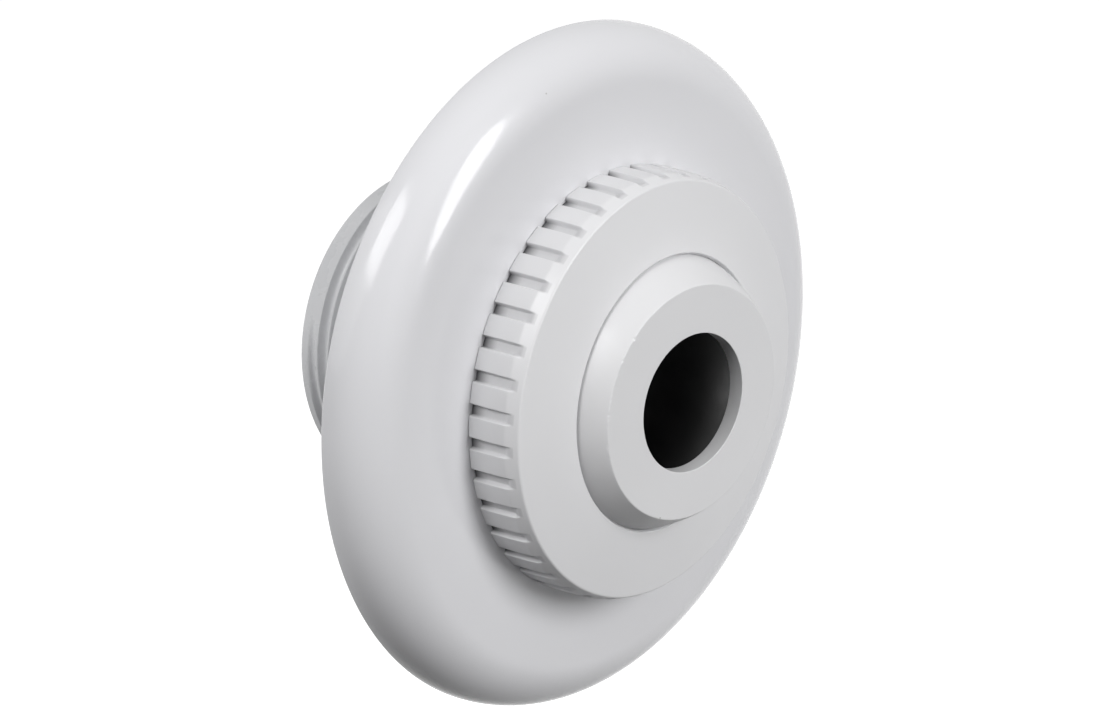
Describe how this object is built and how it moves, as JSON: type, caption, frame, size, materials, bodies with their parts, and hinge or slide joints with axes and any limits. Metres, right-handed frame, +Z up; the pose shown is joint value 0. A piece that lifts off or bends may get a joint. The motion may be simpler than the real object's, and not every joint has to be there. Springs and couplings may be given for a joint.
{
  "type": "pool inlet nozzle",
  "caption": "Round wall inlet for a pool: a tilting eyeball jet held by a fluted retaining ring in front of a rolled-edge flange, on a male threaded pipe tail.",
  "frame": {"origin": "on the fitting's axis in the plane of the wall, where the flange's rim rests", "axes": "+Y along the axis into the wall, the way the pipe tail leaves; -Y out into the pool; +Z up"},
  "size_m": [0.0966, 0.0542, 0.0966],
  "materials": {
    "body_plastic": "satin",
    "flange_plastic": "gloss",
    "ring_plastic": "satin",
    "ball_plastic": "satin"
  },
  "bodies": {
    "fixed": {"threaded_body": "body_plastic", "wall_flange": "flange_plastic"},
    "ring": {"retaining_ring": "ring_plastic"},
    "ball": {"eyeball": "ball_plastic"}
  },
  "joints": [
    {"name": "ring_turn", "type": "hinge", "parent": "fixed", "child": "ring", "pos_m": [0, 0, 0], "axis": [0, -1, 0], "range_deg": [0, 180]},
    {"name": "ball_tilt", "type": "hinge", "parent": "ring", "child": "ball", "pos_m": [0, -0.00968, 0], "axis": [0, 0, 1], "range_deg": [-10, 20]}
  ]
}
